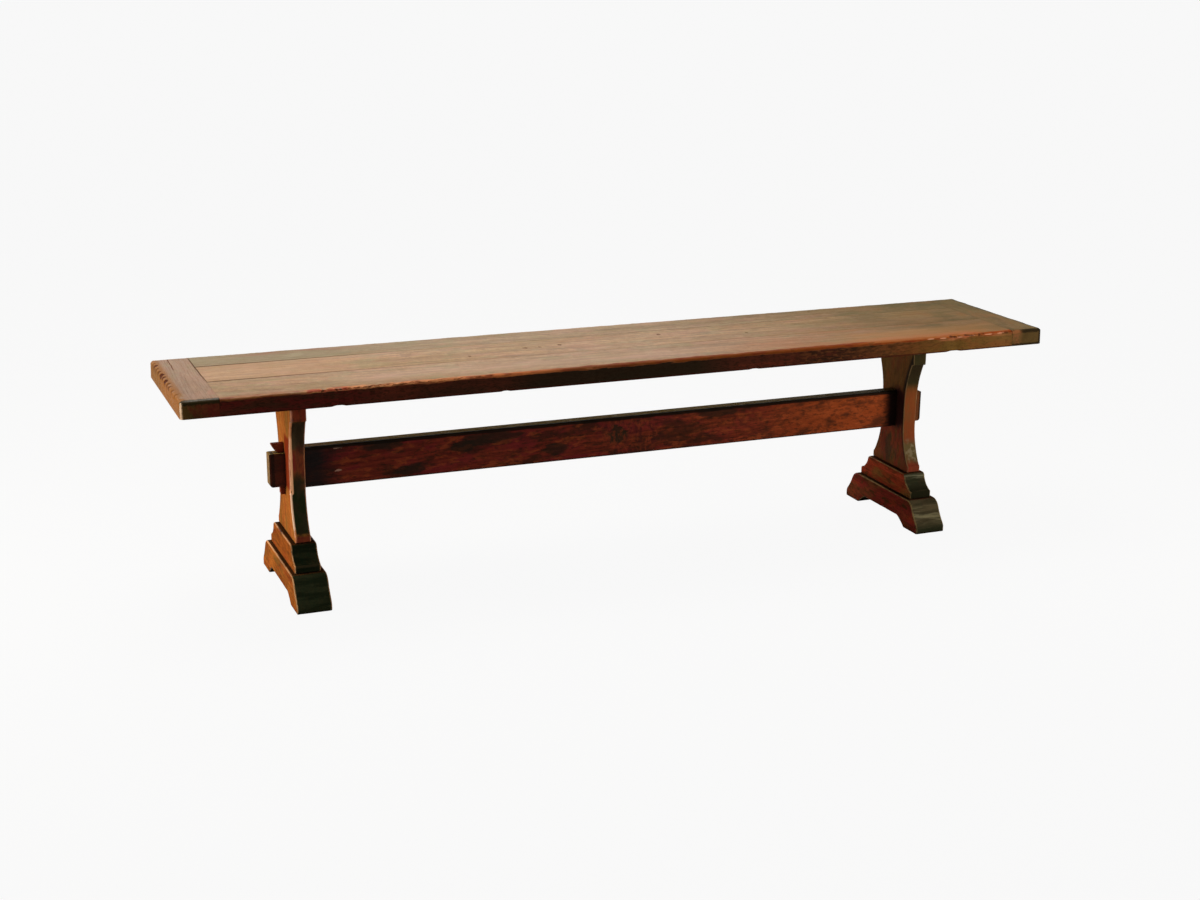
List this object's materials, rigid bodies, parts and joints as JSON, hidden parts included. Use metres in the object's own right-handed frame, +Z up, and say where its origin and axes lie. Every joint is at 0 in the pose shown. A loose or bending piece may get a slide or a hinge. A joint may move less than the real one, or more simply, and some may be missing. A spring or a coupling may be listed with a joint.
{
  "type": "trestle bench",
  "caption": "Long backless bench on waisted trestles with moulded stepped feet, tied by a stretcher with through tenons and loose tusk keys.",
  "frame": {"origin": "on the floor under the middle of the bench", "axes": "+X along the seat to its right end, +Z up, the front is at -Y"},
  "size_m": [1.908, 0.362, 0.459],
  "materials": {
    "seat_wood": "satin oiled, worn arrises",
    "end_wood": "satin oiled, worn arrises",
    "bearer_wood": "dull oiled",
    "leg_wood": "satin oiled, worn arrises",
    "foot_wood": "satin oiled, worn arrises",
    "stretcher_wood": "satin oiled",
    "key_wood": "satin oiled",
    "inner_wood": "bare",
    "screw_steel": "dull zinc"
  },
  "bodies": {
    "bench": {"seat_plank_front": "seat_wood", "seat_plank_middle": "seat_wood", "seat_plank_back": "seat_wood", "seat_tongue_front": "inner_wood", "seat_tongue_back": "inner_wood", "breadboard_pegs": "inner_wood", "seat_screws": "screw_steel", "foot_screws": "screw_steel", "stretcher": "stretcher_wood", "breadboard_end_left": "end_wood", "bearer_left": "bearer_wood", "leg_left": "leg_wood", "foot_step_left": "foot_wood", "foot_left": "foot_wood", "breadboard_end_right": "end_wood", "bearer_right": "bearer_wood", "leg_right": "leg_wood", "foot_step_right": "foot_wood", "foot_right": "foot_wood"},
    "key_left": {"key_left": "key_wood"},
    "key_right": {"key_right": "key_wood"}
  },
  "joints": [
    {"name": "key_left_lift", "type": "slide", "parent": "bench", "child": "key_left", "axis": [0, 0, 1], "range_m": [0, 0.0885]},
    {"name": "key_right_lift", "type": "slide", "parent": "bench", "child": "key_right", "axis": [0, 0, 1], "range_m": [0, 0.0885]}
  ]
}
